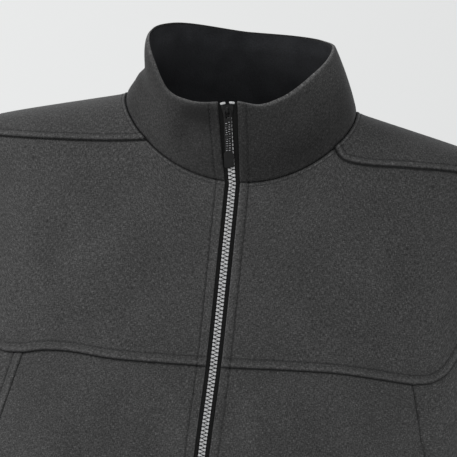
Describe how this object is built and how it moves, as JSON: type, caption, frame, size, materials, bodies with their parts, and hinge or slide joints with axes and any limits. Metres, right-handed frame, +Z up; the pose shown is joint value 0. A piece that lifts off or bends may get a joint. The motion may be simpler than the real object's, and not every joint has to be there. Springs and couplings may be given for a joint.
{
  "type": "softshell vest",
  "caption": "Sleeveless charcoal softshell vest with a stand collar, panelled fronts and a full-length front zip, filled out and zipped to the top.",
  "frame": {"origin": "midway between the two shoulders, at the height where they carry the cloth", "axes": "+Z up along the body, +X to the wearer's left, the front with the zip faces -Y"},
  "size_m": [0.476, 0.2303, 0.7636],
  "materials": {
    "softshell": "matt charcoal melange knit face",
    "facing": "matt black brushed fleece",
    "zip_tape": "matt black woven tape",
    "zip_teeth": "silver moulded plastic",
    "zip_metal": "satin black paint"
  },
  "bodies": {
    "vest": {"back": "softshell", "chest_left": "softshell", "chest_right": "softshell", "front_left": "softshell", "front_right": "softshell", "side_left": "softshell", "side_right": "softshell", "collar": "softshell", "collar_facing": "facing", "zip_tape_left": "zip_tape", "zip_tape_right": "zip_tape", "zip_teeth": "zip_teeth", "zip_stop_left": "zip_teeth", "zip_stop_right": "zip_teeth", "zip_slider": "zip_metal", "zip_box": "zip_metal"},
    "pull_tab": {"zip_pull": "zip_metal"}
  },
  "joints": [
    {"name": "pull_lift", "type": "hinge", "parent": "vest", "child": "pull_tab", "pos_m": [-0.00923, -0.0713, 0.01934], "axis": [-0.9859, 0.0463, -0.1607], "range_deg": [0, 165]}
  ]
}
